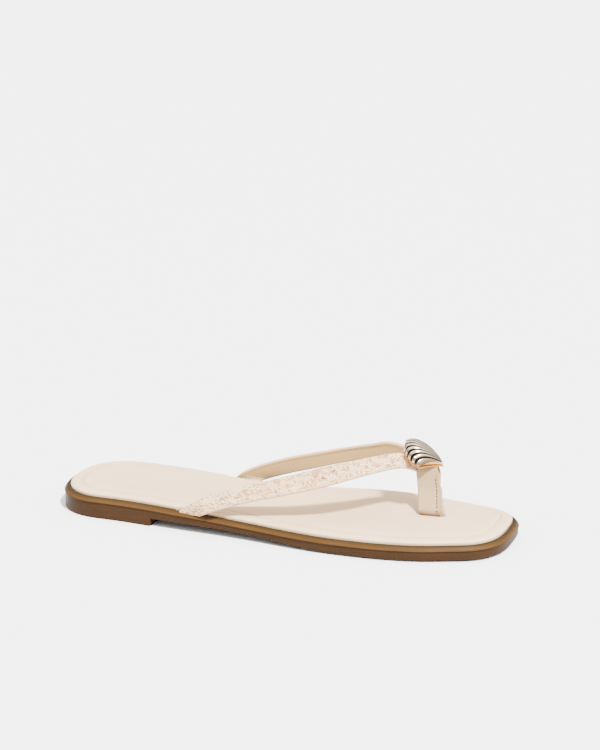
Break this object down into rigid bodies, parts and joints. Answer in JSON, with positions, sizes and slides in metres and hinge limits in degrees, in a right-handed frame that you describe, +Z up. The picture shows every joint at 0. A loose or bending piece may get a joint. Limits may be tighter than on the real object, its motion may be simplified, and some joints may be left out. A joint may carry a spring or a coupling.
{
  "type": "toe post sandal",
  "caption": "Flat right sandal with a padded footbed, a V of woven straps on a folded toe post, and a metal scallop shell over the join.",
  "frame": {"origin": "on the floor under the middle of the heel, on the tread's land there", "axes": "+X from heel to toe, +Y to the inner (big toe) side of this right shoe, +Z up"},
  "size_m": [0.2626, 0.0893, 0.0501],
  "materials": {
    "outsole_rubber": "satin moulded, tan",
    "insole_leather": "smooth cream, padded",
    "strap_weave": "matt raffia weave, cream and peach",
    "post_leather": "smooth cream, stitched",
    "shell_metal": "polished pale gold, darkened in the grooves"
  },
  "bodies": {
    "root": {"outsole": "outsole_rubber", "insole": "insole_leather", "straps": "strap_weave", "toe_post": "post_leather", "shell_ornament": "shell_metal"}
  },
  "joints": []
}
